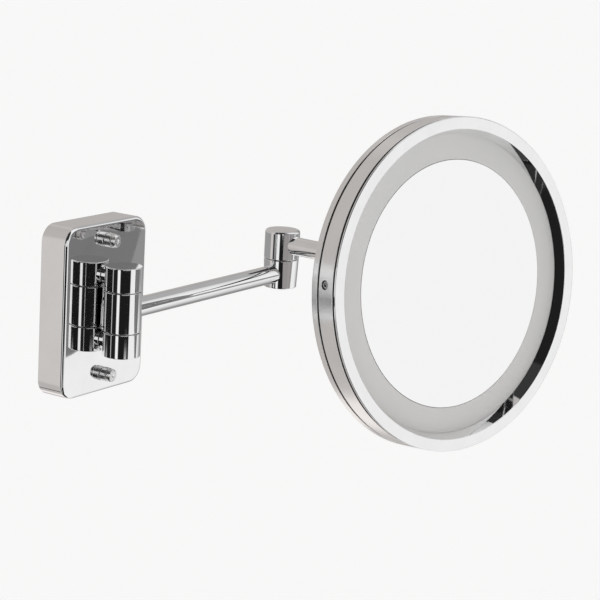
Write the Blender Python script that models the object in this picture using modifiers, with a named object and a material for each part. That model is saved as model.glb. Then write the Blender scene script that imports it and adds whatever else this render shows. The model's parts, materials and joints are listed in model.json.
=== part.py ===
"""Extendable shaving mirror: a wall box, a two-part swing arm and a round lit mirror head.

Metres, +Z up. The wall is the plane Y = 0 and the room lies towards -Y. The origin is the centre
of the wall bracket's back face. The arm and the head hang on a chain of empties, one on each
hinge axis, so every moving piece turns about its own empty.
"""
import math

import bmesh
import bpy

# Fits
GAP = 0.0003
KNUCKLE_GAP = 0.0004

# Wall box
COVER_WIDTH = 0.079
COVER_HEIGHT = 0.110
COVER_DEPTH = 0.0206
COVER_CORNER = 0.011
COVER_EDGE = 0.0022
COVER_WALL = 0.0014
BRACKET_WIDTH = 0.066
BRACKET_HEIGHT = 0.098
BRACKET_THICKNESS = 0.0025
BRACKET_HOLE_X = 0.025
BRACKET_HOLE_Z = 0.030
BRACKET_HOLE_RADIUS = 0.0026
CABLE_HOLE_X = -0.019
CABLE_HOLE_Z = -0.006
CABLE_HOLE_RADIUS = 0.0075
GROMMET_BORE = 0.0045
STUD_HEIGHT = 0.0436
STUD_RADIUS = 0.0020
NUT_RADIUS = 0.0046
NUT_LENGTH = 0.0080
STIFFENER_WIDTH = 0.058
STIFFENER_HEIGHT = 0.076
STIFFENER_THICKNESS = 0.0020

# Wall hinge
HINGE_OFFSET = 0.0140
HINGE_Y = -(COVER_DEPTH + HINGE_OFFSET)
BARREL_RADIUS = 0.0120
BARREL_HEIGHT = 0.0580
BARREL_MIDDLE = 0.0260
SPIGOT_RADIUS = 0.0060
SPIGOT_HEIGHT = 0.0210
PIN_RADIUS = 0.0040
RECESS_RADIUS = 0.0100
RECESS_DEPTH = 0.0005
WASHER_THICKNESS = 0.0008
EDGE_BREAK = 0.0004

# Arms
TUBE_RADIUS = 0.00635
TUBE_WALL = 0.0014
SOCKET_START = 0.0065
LEAD_RADIUS = 0.0018
ARM_1_LENGTH = 0.1745
ARM_2_LENGTH = 0.1070
ARM_RISE = 0.0205
ELBOW_RADIUS = 0.0122
ELBOW_KNUCKLE = 0.0200
ELBOW_FOOT_RADIUS = 0.0113
ELBOW_CAP_EDGE = 0.0011

# Rest pose: the second arm from the first, then the head from the second arm
ELBOW_REST = math.radians(-95.0)
SWIVEL_REST = math.radians(-9.7)
TILT_REST = math.radians(5.8)

# Head joint
TONGUE_RADIUS = 0.0066
TONGUE_THICKNESS = 0.0060
TONGUE_NECK = 0.0120
YOKE_WIDTH = 0.0150
YOKE_HEIGHT = 0.0190
YOKE_BACK = 0.0075
YOKE_FRONT = 0.0105
SWIVEL_PIN_RADIUS = 0.0024
TILT_FORWARD = 0.0165
TILT_DROP = 0.0040
NOSE_RADIUS = 0.0060
NOSE_WIDTH = 0.0110
TILT_PIN_RADIUS = 0.0025
TILT_WASHER = 0.0006
EAR_THICKNESS = 0.0030
BRACKET_PLATE = 0.0030
HEAD_BRACKET_WIDTH = 0.038
HEAD_BRACKET_HEIGHT = 0.030

# Mirror head, with depths measured forward from the tilt axis
HEAD_RADIUS = 0.1090
HEAD_BACK = 0.0113
GLASS_FRONT = HEAD_BACK + 0.0167
LIP_FRONT = GLASS_FRONT + 0.0070
SHELL = 0.0012
GROOVE_DEPTH = 0.0006
REAR_GROOVE = (HEAD_BACK + 0.0066, HEAD_BACK + 0.0081)
FRONT_GROOVE = (GLASS_FRONT + 0.0041, GLASS_FRONT + 0.0058)
LIP_INNER_RADIUS = 0.1009
CONE_FOOT_RADIUS = 0.0977
MIRROR_RADIUS = 0.0810
MIRROR_SAG = 0.0018
DRUM_RADIUS = 0.1062
INNER_RING_RADIUS = 0.1028
BAND_SCREWS = 3
BAND_SCREW_START = math.radians(84.8)
BAND_SCREW_SHARE = 0.44
LED_COUNT = 16

# Facets
LARGE_STEPS = 48
KNUCKLE_STEPS = 24
SMALL_STEPS = 12

# Finishes: base colour, roughness, metallic
CHROME = ((0.82, 0.82, 0.83), 0.06, 1.0)
STEEL = ((0.62, 0.63, 0.64), 0.35, 1.0)
BLACK_RUBBER = ((0.02, 0.02, 0.02), 0.65, 0.0)
NYLON = ((0.72, 0.71, 0.68), 0.45, 0.0)
WHITE_PLASTIC = ((0.85, 0.85, 0.83), 0.40, 0.0)
DARK_PLASTIC = ((0.06, 0.06, 0.07), 0.45, 0.0)
FROSTED = ((0.62, 0.63, 0.62), 0.55, 0.0)
MIRROR = ((0.93, 0.94, 0.94), 0.01, 1.0)
BOARD = ((0.75, 0.76, 0.74), 0.50, 0.0)
FOAM = ((0.10, 0.10, 0.10), 0.90, 0.0)
LEAD = ((0.80, 0.80, 0.78), 0.50, 0.0)

ALONG_X = (0.0, math.pi / 2, 0.0)
ALONG_MINUS_Y = (math.pi / 2, 0.0, 0.0)
UPRIGHT = (0.0, 0.0, 0.0)


def clear_scene():
    for obj in list(bpy.data.objects):
        bpy.data.objects.remove(obj, do_unlink=True)


def new_collection(name):
    collection = bpy.data.collections.new(name)
    bpy.context.scene.collection.children.link(collection)
    return collection


clear_scene()
PIECES = new_collection("shaving_mirror")
TOOLS = new_collection("cutters")


# Helpers

def axis_empty(name, parent, location, rotation=UPRIGHT):
    empty = bpy.data.objects.new(name, None)
    empty.empty_display_size = 0.01
    PIECES.objects.link(empty)
    empty.parent = parent
    empty.location = location
    empty.rotation_euler = rotation
    return empty


def object_from(name, bm):
    mesh = bpy.data.meshes.new(name)
    bm.to_mesh(mesh)
    bm.free()
    return bpy.data.objects.new(name, mesh)


def place(obj, parent, location=(0.0, 0.0, 0.0), rotation=UPRIGHT):
    obj.parent = parent
    obj.location = location
    obj.rotation_euler = rotation
    return obj


def finish(obj, look):
    colour, roughness, metallic = look
    material = bpy.data.materials.new(obj.name + "_finish")
    material.use_nodes = True
    shader = material.node_tree.nodes["Principled BSDF"]
    shader.inputs["Base Color"].default_value = (*colour, 1.0)
    shader.inputs["Roughness"].default_value = roughness
    shader.inputs["Metallic"].default_value = metallic
    obj.data.materials.clear()
    obj.data.materials.append(material)
    PIECES.objects.link(obj)
    return obj


def hide_tool(obj):
    TOOLS.objects.link(obj)
    obj.hide_render = True
    obj.display_type = "WIRE"
    return obj


def combine(obj, tool, operation):
    modifier = obj.modifiers.new(tool.name, "BOOLEAN")
    modifier.operation = operation
    modifier.solver = "EXACT"
    modifier.object = tool


def cut(obj, *tools):
    for tool in tools:
        combine(obj, tool, "DIFFERENCE")


def join(obj, *tools):
    for tool in tools:
        combine(obj, tool, "UNION")


def turned(name, profile, steps):
    """Turn (radius, height) points about local Z. The outer side runs from top to bottom.

    A profile that starts on the axis is left open there; any other profile is a closed ring.
    """
    bm = bmesh.new()
    verts = [bm.verts.new((radius, 0.0, height)) for radius, height in profile]
    for upper, lower in zip(verts, verts[1:]):
        bm.edges.new((upper, lower))
    if profile[0][0] > 0.0:
        bm.edges.new((verts[-1], verts[0]))
    obj = object_from(name, bm)
    screw = obj.modifiers.new("Turn", "SCREW")
    screw.steps = steps
    screw.render_steps = steps
    screw.use_merge_vertices = True
    screw.merge_threshold = 0.00001
    return obj


def rod(name, radius, length, steps=SMALL_STEPS):
    """A plain cylinder from local Z = 0 to Z = length."""
    bm = bmesh.new()
    bmesh.ops.create_cone(
        bm, cap_ends=True, segments=steps, radius1=radius, radius2=radius, depth=length
    )
    bmesh.ops.translate(bm, verts=bm.verts, vec=(0.0, 0.0, length / 2))
    return object_from(name, bm)


def block(name, low, high, corner=0.0, axis=1, segments=3, edge=0.0):
    """A box from low to high, with its edges along one axis rounded, then its -Y rim."""
    bm = bmesh.new()
    bmesh.ops.create_cube(bm, size=1.0)
    for vert in bm.verts:
        for i in range(3):
            vert.co[i] = (low[i] + high[i]) / 2 + vert.co[i] * (high[i] - low[i])
    if corner > 0.0:
        chosen = [e for e in bm.edges if abs((e.verts[0].co - e.verts[1].co)[axis]) > 1e-6]
        bmesh.ops.bevel(
            bm, geom=chosen, offset=corner, segments=segments, profile=0.5, affect="EDGES"
        )
    if edge > 0.0:
        rim = [e for e in bm.edges if all(v.co.y < low[1] + 1e-6 for v in e.verts)]
        bmesh.ops.bevel(bm, geom=rim, offset=edge, segments=3, profile=0.5, affect="EDGES")
    return object_from(name, bm)


def drill(name, parent, location, rotation, radius, length, steps=SMALL_STEPS):
    tool = hide_tool(rod("cut_" + name, radius, length, steps))
    return place(tool, parent, location, rotation)


def washer(name, parent, outer, inner, thickness, location, rotation=UPRIGHT, look=NYLON):
    profile = [(inner, thickness), (outer, thickness), (outer, 0.0), (inner, 0.0)]
    return finish(place(turned(name, profile, KNUCKLE_STEPS), parent, location, rotation), look)


def headed_screw(name, parent, location, rotation, head, shank, look=STEEL):
    """A screw whose head top is at local Z = 0 and whose shank points down -Z."""
    head_radius, head_height = head
    shank_radius, shank_length = shank
    profile = [
        (0.0, -head_height * 0.45),
        (head_radius * 0.42, -head_height * 0.45),
        (head_radius * 0.42, 0.0),
        (head_radius * 0.82, 0.0),
        (head_radius, -head_height * 0.35),
        (head_radius, -head_height),
        (shank_radius, -head_height),
        (shank_radius, -head_height - shank_length),
        (0.0, -head_height - shank_length),
    ]
    return finish(place(turned(name, profile, SMALL_STEPS), parent, location, rotation), look)


# Wall box

def wall_bracket():
    obj = block(
        "wall_bracket",
        (-BRACKET_WIDTH / 2, -BRACKET_THICKNESS, -BRACKET_HEIGHT / 2),
        (BRACKET_WIDTH / 2, 0.0, BRACKET_HEIGHT / 2),
        corner=0.007,
    )
    through = 3 * BRACKET_THICKNESS
    for side in (-1, 1):
        for level in (-1, 1):
            where = (side * BRACKET_HOLE_X, BRACKET_THICKNESS, level * BRACKET_HOLE_Z)
            hole = "fixing_%d_%d" % (side, level)
            cut(obj, drill(hole, None, where, ALONG_MINUS_Y, BRACKET_HOLE_RADIUS, through))
    where = (CABLE_HOLE_X, BRACKET_THICKNESS, CABLE_HOLE_Z)
    cut(obj, drill("cable", None, where, ALONG_MINUS_Y, CABLE_HOLE_RADIUS, through, 20))
    return finish(obj, STEEL)


def cable_grommet():
    """A rubber ring that lines the bracket's cable hole, with a lip on the room side."""
    neck = CABLE_HOLE_RADIUS - GAP
    lip = CABLE_HOLE_RADIUS + 0.0016
    lip_start = BRACKET_THICKNESS + GAP
    profile = [
        (GROMMET_BORE, lip_start + 0.0012),
        (lip, lip_start + 0.0012),
        (lip, lip_start),
        (neck, lip_start),
        (neck, GAP),
        (GROMMET_BORE, GAP),
    ]
    obj = turned("cable_grommet", profile, 20)
    place(obj, None, (CABLE_HOLE_X, 0.0, CABLE_HOLE_Z), ALONG_MINUS_Y)
    return finish(obj, BLACK_RUBBER)


def stud(name, level):
    """A threaded stud with a welded foot on the bracket; the thumb nut runs on its end."""
    foot = BRACKET_THICKNESS + GAP
    end = COVER_DEPTH + 0.0062
    profile = [
        (0.0, end),
        (STUD_RADIUS - 0.0004, end),
        (STUD_RADIUS, end - 0.0005),
        (STUD_RADIUS, foot + 0.0010),
        (STUD_RADIUS * 1.8, foot + 0.0010),
        (STUD_RADIUS * 1.8, foot),
        (0.0, foot),
    ]
    obj = turned(name, profile, SMALL_STEPS)
    return finish(place(obj, None, (0.0, 0.0, level), ALONG_MINUS_Y), STEEL)


def thumb_nut(name, level):
    """A knurled cap nut: grip, groove and a chamfered end with a small dimple."""
    seat = COVER_DEPTH + GAP
    front = seat + NUT_LENGTH
    bore = STUD_RADIUS + GAP
    blind = seat + 0.0064
    profile = [
        (0.0, front - 0.0003),
        (0.0009, front),
        (NUT_RADIUS - 0.0013, front),
        (NUT_RADIUS - 0.0004, front - 0.0008),
        (NUT_RADIUS - 0.0004, front - 0.0022),
        (NUT_RADIUS - 0.0010, front - 0.0024),
        (NUT_RADIUS - 0.0010, front - 0.0030),
        (NUT_RADIUS, front - 0.0033),
        (NUT_RADIUS, seat + 0.0004),
        (NUT_RADIUS - 0.0004, seat),
        (bore, seat),
        (bore, blind),
        (0.0, blind),
    ]
    axis = axis_empty(name + "_axis", None, (0.0, 0.0, level))
    obj = turned(name, profile, 20)
    return finish(place(obj, axis, (0.0, 0.0, 0.0), ALONG_MINUS_Y), CHROME)


def cover_box():
    """The chrome cover: a rounded box that is open towards the wall."""
    back = -GAP
    obj = block(
        "cover_box",
        (-COVER_WIDTH / 2, -COVER_DEPTH, -COVER_HEIGHT / 2),
        (COVER_WIDTH / 2, back, COVER_HEIGHT / 2),
        corner=COVER_CORNER,
        segments=5,
        edge=COVER_EDGE,
    )
    bm = bmesh.new()
    bm.from_mesh(obj.data)
    open_side = [f for f in bm.faces if all(v.co.y > back - 1e-6 for v in f.verts)]
    bmesh.ops.delete(bm, geom=open_side, context="FACES_ONLY")
    bm.to_mesh(obj.data)
    bm.free()
    shell = obj.modifiers.new("Wall", "SOLIDIFY")
    shell.thickness = COVER_WALL
    shell.offset = -1.0
    shell.use_even_offset = True
    start = -(COVER_DEPTH - 2 * COVER_WALL - COVER_EDGE)
    depth = 3 * COVER_WALL + COVER_EDGE
    for level in (-STUD_HEIGHT, STUD_HEIGHT, -SPIGOT_HEIGHT, SPIGOT_HEIGHT):
        hole = "cover_%d" % round(level * 1e4)
        tool = drill(hole, None, (0.0, start, level), ALONG_MINUS_Y, STUD_RADIUS + 0.0005, depth)
        cut(obj, tool)
    return finish(obj, CHROME)


def stiffener_plate():
    front = -(COVER_DEPTH - COVER_WALL - GAP)
    obj = block(
        "stiffener_plate",
        (-STIFFENER_WIDTH / 2, front, -STIFFENER_HEIGHT / 2),
        (STIFFENER_WIDTH / 2, front + STIFFENER_THICKNESS, STIFFENER_HEIGHT / 2),
        corner=0.004,
    )
    for level in (-SPIGOT_HEIGHT, SPIGOT_HEIGHT):
        hole = "stiffener_%d" % round(level * 1e4)
        where = (0.0, front + 2 * STIFFENER_THICKNESS, level)
        length = 3 * STIFFENER_THICKNESS
        cut(obj, drill(hole, None, where, ALONG_MINUS_Y, STUD_RADIUS + 0.0005, length))
    return finish(obj, STEEL)


def knuckle_screw(name, level):
    """A screw from inside the cover, through the stiffener and into a fixed knuckle."""
    seat = -(COVER_DEPTH - COVER_WALL - STIFFENER_THICKNESS - 2 * GAP)
    head_height = 0.0024
    where = (0.0, seat + head_height, level)
    return headed_screw(
        name, None, where, (-math.pi / 2, 0.0, 0.0), (0.0038, head_height), (0.0018, 0.0105)
    )


def led_driver():
    """The sealed supply for the light ring, clear of the screw heads beside it."""
    obj = block("led_driver", (0.0070, -0.0135, -0.028), (0.0310, -0.0030, 0.028), 0.0015, 1, 2)
    return finish(obj, WHITE_PLASTIC)


def terminal_block():
    obj = block("terminal_block", (-0.0290, -0.0120, 0.012), (-0.0110, -0.0030, 0.034))
    for i in range(3):
        where = (-0.0250 + i * 0.0050, -0.0090, 0.023)
        cut(obj, drill("terminal_%d" % i, None, where, ALONG_MINUS_Y, 0.0015, 0.006, 10))
    return finish(obj, DARK_PLASTIC)


# Hinge knuckles

def collar(name, radius, bottom, top, bore, recessed_ends, foot_radius=None):
    """A knuckle bored right through, with washer recesses in the chosen ends.

    With a foot radius, its side tapers to that radius at the bottom.
    """
    upper = RECESS_DEPTH if "top" in recessed_ends else 0.0
    lower = RECESS_DEPTH if "bottom" in recessed_ends else 0.0
    foot = foot_radius or radius
    profile = [(bore, top - upper)]
    if upper:
        profile += [(RECESS_RADIUS, top - upper), (RECESS_RADIUS, top)]
    profile += [(radius - EDGE_BREAK, top), (radius, top - EDGE_BREAK)]
    profile += [(foot, bottom + EDGE_BREAK), (foot - EDGE_BREAK, bottom)]
    if lower:
        profile += [(RECESS_RADIUS, bottom), (RECESS_RADIUS, bottom + lower)]
    profile += [(bore, bottom + lower)]
    return turned(name, profile, KNUCKLE_STEPS)


def capped_collar(name, radius, bottom, top, bore, edge):
    """A knuckle that is closed on top, with a washer recess in its lower end."""
    blind = top - 0.0028
    profile = [
        (0.0, top),
        (radius - edge, top),
        (radius, top - edge),
        (radius, bottom + EDGE_BREAK),
        (radius - EDGE_BREAK, bottom),
        (RECESS_RADIUS, bottom),
        (RECESS_RADIUS, bottom + RECESS_DEPTH),
        (bore, bottom + RECESS_DEPTH),
        (bore, blind),
        (0.0, blind),
    ]
    return turned(name, profile, KNUCKLE_STEPS)


def fit_spigot(obj, level):
    """Join the short foot that stands a fixed knuckle off the cover, and drill it."""
    face = -COVER_DEPTH - GAP
    foot = hide_tool(rod("join_" + obj.name, SPIGOT_RADIUS, HINGE_OFFSET - 0.0050, 20))
    place(foot, None, (0.0, face, level), ALONG_MINUS_Y)
    join(obj, foot)
    where = (0.0, face + 0.002, level)
    cut(obj, drill(obj.name, None, where, ALONG_MINUS_Y, 0.0021, 0.0091))


def knuckle_top():
    bottom = BARREL_MIDDLE / 2 + KNUCKLE_GAP
    bore = PIN_RADIUS + GAP
    obj = capped_collar(
        "knuckle_top", BARREL_RADIUS, bottom, BARREL_HEIGHT / 2, bore, EDGE_BREAK
    )
    place(obj, None, (0.0, HINGE_Y, 0.0))
    fit_spigot(obj, SPIGOT_HEIGHT)
    return finish(obj, CHROME)


def counterbore(name, parent, bottom):
    """The recess for a pin screw's head in a knuckle's lower end."""
    return drill(name, parent, (0.0, 0.0, bottom - 0.002), UPRIGHT, 0.0066, 0.0045, 20)


def knuckle_bottom():
    top = -(BARREL_MIDDLE / 2 + KNUCKLE_GAP)
    bottom = -BARREL_HEIGHT / 2
    bore = PIN_RADIUS + GAP
    obj = collar("knuckle_bottom", BARREL_RADIUS, bottom, top, bore, ("top",))
    place(obj, None, (0.0, HINGE_Y, 0.0))
    fit_spigot(obj, -SPIGOT_HEIGHT)
    tool = counterbore("knuckle_bottom_head", None, bottom)
    tool.location.y = HINGE_Y
    cut(obj, tool)
    return finish(obj, CHROME)


def socket(obj, parent, level, radius, outward):
    """Cut the arm's socket and its lead hole into a knuckle, along local +X or -X."""
    turn = (0.0, outward * math.pi / 2, 0.0)
    tube_hole = (outward * SOCKET_START, 0.0, level)
    lead_hole = (outward * (PIN_RADIUS - 0.0005), 0.0, level)
    cut(
        obj,
        drill(obj.name + "_socket", parent, tube_hole, turn, TUBE_RADIUS + GAP, radius, 24),
        drill(obj.name + "_lead", parent, lead_hole, turn, LEAD_RADIUS + 0.0006, radius, 12),
    )


def knuckle_middle(arm):
    half = BARREL_MIDDLE / 2
    bore = PIN_RADIUS + GAP
    obj = collar("knuckle_middle", BARREL_RADIUS, -half, half, bore, ("top", "bottom"))
    place(obj, arm)
    socket(obj, arm, 0.0, BARREL_RADIUS, 1)
    return finish(obj, CHROME)


def hinge_pin(name, parent, bottom, top, location):
    """A pin with a blind tapped hole in its lower end for the pin screw."""
    profile = [
        (0.0, top),
        (PIN_RADIUS - 0.0005, top),
        (PIN_RADIUS, top - 0.0005),
        (PIN_RADIUS, bottom),
        (0.0016, bottom),
        (0.0016, bottom + 0.0075),
        (0.0, bottom + 0.0075),
    ]
    return finish(place(turned(name, profile, 20), parent, location), STEEL)


def pin_screw(name, parent, bottom, location):
    """The screw in a knuckle's lower end that holds the hinge pin up."""
    where = (location[0], location[1], bottom + 0.0002)
    return headed_screw(
        name, parent, where, (math.pi, 0.0, 0.0), (0.0060, 0.0018), (0.0013, 0.0060)
    )


def seat_washer(name, parent, split, location):
    """A nylon washer that floats in the two recesses beside a knuckle split."""
    where = (location[0], location[1], split - WASHER_THICKNESS / 2)
    return washer(
        name, parent, RECESS_RADIUS - GAP, PIN_RADIUS + GAP, WASHER_THICKNESS, where
    )


def wall_hinge():
    knuckle_top()
    knuckle_bottom()
    half = BARREL_HEIGHT / 2
    axis = (0.0, HINGE_Y, 0.0)
    hinge_pin("wall_hinge_pin", None, -half + 0.0030, half - 0.0031, axis)
    pin_screw("wall_pin_screw", None, -half, axis)
    split = BARREL_MIDDLE / 2 + KNUCKLE_GAP / 2
    seat_washer("wall_washer_upper", None, split, axis)
    seat_washer("wall_washer_lower", None, -split, axis)


# Arms

def arm_tube(name, arm, level, start, end):
    """A chrome tube along local +X, hollow for the light's lead."""
    inner = TUBE_RADIUS - TUBE_WALL
    profile = [(inner, end), (TUBE_RADIUS, end), (TUBE_RADIUS, start), (inner, start)]
    obj = turned(name, profile, 24)
    return finish(place(obj, arm, (0.0, 0.0, level), ALONG_X), CHROME)


def arm_lead(name, arm, level, start, end):
    obj = rod(name, LEAD_RADIUS, end - start, 10)
    return finish(place(obj, arm, (start, 0.0, level), ALONG_X), LEAD)


def first_arm(arm, elbow):
    knuckle_middle(arm)
    start = SOCKET_START + GAP
    arm_tube("arm_1_tube", arm, 0.0, start, ARM_1_LENGTH - start)
    arm_lead("lead_arm_1", arm, 0.0, start + 0.001, ARM_1_LENGTH - start - 0.001)
    half = ELBOW_KNUCKLE / 2
    bore = PIN_RADIUS + GAP
    obj = collar(
        "elbow_knuckle_lower", ELBOW_RADIUS, -half, half, bore, ("top",), ELBOW_FOOT_RADIUS
    )
    lower = axis_empty("elbow_lower_axis", arm, (ARM_1_LENGTH, 0.0, 0.0))
    place(obj, lower)
    socket(obj, lower, 0.0, ELBOW_RADIUS, -1)
    cut(obj, counterbore("elbow_lower_head", lower, -half))
    finish(obj, CHROME)
    top = ARM_RISE + half
    hinge_pin("elbow_pin", lower, -half + 0.0030, top - 0.0031, (0.0, 0.0, 0.0))
    pin_screw("elbow_pin_screw", lower, -half, (0.0, 0.0, 0.0))
    seat_washer("elbow_washer", lower, half + (ARM_RISE - 2 * half) / 2, (0.0, 0.0, 0.0))


def arm_2_end(arm):
    """The plug and flat tongue at the second arm's end, bored for the swivel pin."""
    half = TONGUE_THICKNESS / 2
    obj = block(
        "arm_2_end",
        (ARM_2_LENGTH - TONGUE_NECK, -TONGUE_RADIUS * 0.82, ARM_RISE - half),
        (ARM_2_LENGTH, TONGUE_RADIUS * 0.82, ARM_RISE + half),
    )
    place(obj, arm)
    eye = hide_tool(rod("join_tongue_eye", TONGUE_RADIUS, TONGUE_THICKNESS, 24))
    place(eye, arm, (ARM_2_LENGTH, 0.0, ARM_RISE - half))
    collar_start = ARM_2_LENGTH - TONGUE_NECK - 0.0030
    plug_collar = hide_tool(rod("join_tongue_collar", TUBE_RADIUS, 0.0035, 24))
    place(plug_collar, arm, (collar_start, 0.0, ARM_RISE), ALONG_X)
    plug_radius = TUBE_RADIUS - TUBE_WALL - GAP
    plug = hide_tool(rod("join_tongue_plug", plug_radius, 0.0080, 20))
    place(plug, arm, (collar_start - 0.0075, 0.0, ARM_RISE), ALONG_X)
    join(obj, eye, plug_collar, plug)
    where = (ARM_2_LENGTH, 0.0, ARM_RISE - 0.008)
    cut(obj, drill("tongue_eye", arm, where, UPRIGHT, SWIVEL_PIN_RADIUS + GAP, 0.016, 18))
    return finish(obj, CHROME)


def second_arm(arm):
    half = ELBOW_KNUCKLE / 2
    obj = capped_collar(
        "elbow_knuckle_upper",
        ELBOW_RADIUS,
        half + KNUCKLE_GAP,
        ARM_RISE + half,
        PIN_RADIUS + GAP,
        ELBOW_CAP_EDGE,
    )
    place(obj, arm)
    socket(obj, arm, ARM_RISE, ELBOW_RADIUS, 1)
    finish(obj, CHROME)
    start = SOCKET_START + GAP
    end = ARM_2_LENGTH - TONGUE_NECK - 0.0030 - GAP
    arm_tube("arm_2_tube", arm, ARM_RISE, start, end)
    arm_lead("lead_arm_2", arm, ARM_RISE, start + 0.001, end - 0.0090)
    arm_2_end(arm)


# Head joint

def swivel_yoke(swivel):
    """The yoke holds the tongue between two cheeks and carries the tilt pin in its nose."""
    obj = block(
        "swivel_yoke",
        (-YOKE_BACK, -YOKE_WIDTH / 2, -YOKE_HEIGHT / 2),
        (YOKE_FRONT, YOKE_WIDTH / 2, YOKE_HEIGHT / 2),
        corner=0.0035,
        axis=2,
    )
    place(obj, swivel)
    slot_half = TONGUE_THICKNESS / 2 + GAP
    slot_front = TONGUE_RADIUS + GAP
    slot = hide_tool(
        block(
            "cut_yoke_slot",
            (-0.020, -YOKE_WIDTH, -slot_half),
            (slot_front, YOKE_WIDTH, slot_half),
        )
    )
    place(slot, swivel)
    nose = hide_tool(
        block(
            "join_yoke_nose",
            (YOKE_FRONT - 0.001, -NOSE_WIDTH / 2, -TILT_DROP - NOSE_RADIUS),
            (TILT_FORWARD, NOSE_WIDTH / 2, -TILT_DROP + NOSE_RADIUS),
        )
    )
    place(nose, swivel)
    tip = hide_tool(rod("join_yoke_tip", NOSE_RADIUS, NOSE_WIDTH, 24))
    place(tip, swivel, (TILT_FORWARD, NOSE_WIDTH / 2, -TILT_DROP), ALONG_MINUS_Y)
    join(obj, nose, tip)
    cut(
        obj,
        slot,
        drill("yoke_pin", swivel, (0.0, 0.0, -0.015), UPRIGHT, SWIVEL_PIN_RADIUS + GAP, 0.03, 18),
        drill(
            "yoke_tilt",
            swivel,
            (TILT_FORWARD, 0.01, -TILT_DROP),
            ALONG_MINUS_Y,
            TILT_PIN_RADIUS + GAP,
            0.02,
            18,
        ),
    )
    return finish(obj, CHROME)


def swivel_pin(swivel):
    """A shouldered pin with a low head above the yoke and a riveted end below it."""
    top = YOKE_HEIGHT / 2 + GAP
    profile = [
        (0.0, top + 0.0014),
        (0.0032, top + 0.0014),
        (0.0042, top + 0.0006),
        (0.0042, top),
        (SWIVEL_PIN_RADIUS, top),
        (SWIVEL_PIN_RADIUS, -top - 0.0012),
        (0.0, -top - 0.0012),
    ]
    return finish(place(turned("swivel_pin", profile, 18), swivel), CHROME)


def swivel_circlip(swivel):
    """The retaining ring on the swivel pin's lower end."""
    top = -(YOKE_HEIGHT / 2 + GAP)
    return washer(
        "swivel_circlip",
        swivel,
        0.0040,
        SWIVEL_PIN_RADIUS + GAP,
        0.0008,
        (0.0, 0.0, top - 0.0008),
        look=STEEL,
    )


def tilt_pin(tilt):
    """The friction screw across the ears, with its head on the left and a nut on the right."""
    outer = NOSE_WIDTH / 2 + TILT_WASHER + 2 * GAP + EAR_THICKNESS + GAP
    length = 2 * outer + 0.0022
    return headed_screw(
        "tilt_pin",
        tilt,
        (0.0, outer + 0.0016, 0.0),
        (-math.pi / 2, 0.0, 0.0),
        (0.0044, 0.0016),
        (TILT_PIN_RADIUS, length),
        CHROME,
    )


def tilt_nut(tilt):
    inner = NOSE_WIDTH / 2 + TILT_WASHER + 2 * GAP + EAR_THICKNESS + GAP
    obj = place(rod("tilt_nut", 0.0048, 0.0020, 6), tilt, (0.0, -inner, 0.0), ALONG_MINUS_Y)
    where = (0.0, 0.0, 0.0)
    cut(obj, drill("tilt_nut", tilt, where, ALONG_MINUS_Y, TILT_PIN_RADIUS + GAP, 0.02, 18))
    return finish(obj, CHROME)


def tilt_washers(tilt):
    inner = NOSE_WIDTH / 2 + GAP
    for name, start in (("tilt_washer_left", inner + TILT_WASHER), ("tilt_washer_right", -inner)):
        washer(
            name,
            tilt,
            NOSE_RADIUS - 0.0004,
            TILT_PIN_RADIUS + GAP,
            TILT_WASHER,
            (0.0, start, 0.0),
            ALONG_MINUS_Y,
        )


def head_bracket(tilt):
    """A plate on the back of the head with two ears that carry the tilt pin."""
    front = HEAD_BACK - GAP
    back = front - BRACKET_PLATE
    obj = block(
        "head_bracket",
        (back, -HEAD_BRACKET_WIDTH / 2, -HEAD_BRACKET_HEIGHT / 2),
        (front, HEAD_BRACKET_WIDTH / 2, HEAD_BRACKET_HEIGHT / 2),
        corner=0.006,
        axis=0,
    )
    place(obj, tilt)
    inner = NOSE_WIDTH / 2 + TILT_WASHER + 2 * GAP
    for side, label in ((1, "left"), (-1, "right")):
        low = min(side * inner, side * (inner + EAR_THICKNESS))
        high = max(side * inner, side * (inner + EAR_THICKNESS))
        web = hide_tool(
            block("join_ear_" + label, (0.0, low, -NOSE_RADIUS), (back + 0.001, high, NOSE_RADIUS))
        )
        place(web, tilt)
        round_end = hide_tool(rod("join_ear_end_" + label, NOSE_RADIUS, EAR_THICKNESS, 24))
        place(round_end, tilt, (0.0, high, 0.0), ALONG_MINUS_Y)
        join(obj, web, round_end)
    cut(
        obj,
        drill("ears", tilt, (0.0, 0.02, 0.0), ALONG_MINUS_Y, TILT_PIN_RADIUS + GAP, 0.04, 18),
    )
    for i, (across, up) in enumerate(bracket_screw_places()):
        where = (back - 0.002, across, up)
        cut(obj, drill("bracket_screw_%d" % i, tilt, where, ALONG_X, 0.0019, 0.008))
    return finish(obj, CHROME)


def bracket_screw_places():
    across = HEAD_BRACKET_WIDTH / 2 - 0.0050
    up = HEAD_BRACKET_HEIGHT / 2 - 0.0050
    return [(across, up), (-across, up), (-across, -up), (across, -up)]


def bracket_screws(tilt):
    seat = HEAD_BACK - GAP - BRACKET_PLATE
    head_height = 0.0016
    for i, (across, up) in enumerate(bracket_screw_places(), start=1):
        headed_screw(
            "bracket_screw_%d" % i,
            tilt,
            (seat - GAP - head_height, across, up),
            (0.0, -math.pi / 2, 0.0),
            (0.0030, head_height),
            (0.0015, 0.0062),
            CHROME,
        )


# Mirror head: every ring is turned about the head's own axis, local +X of the tilt empty

def head_ring(name, tilt, profile, look, steps=LARGE_STEPS):
    return finish(place(turned(name, profile, steps), tilt, rotation=ALONG_X), look)


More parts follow.
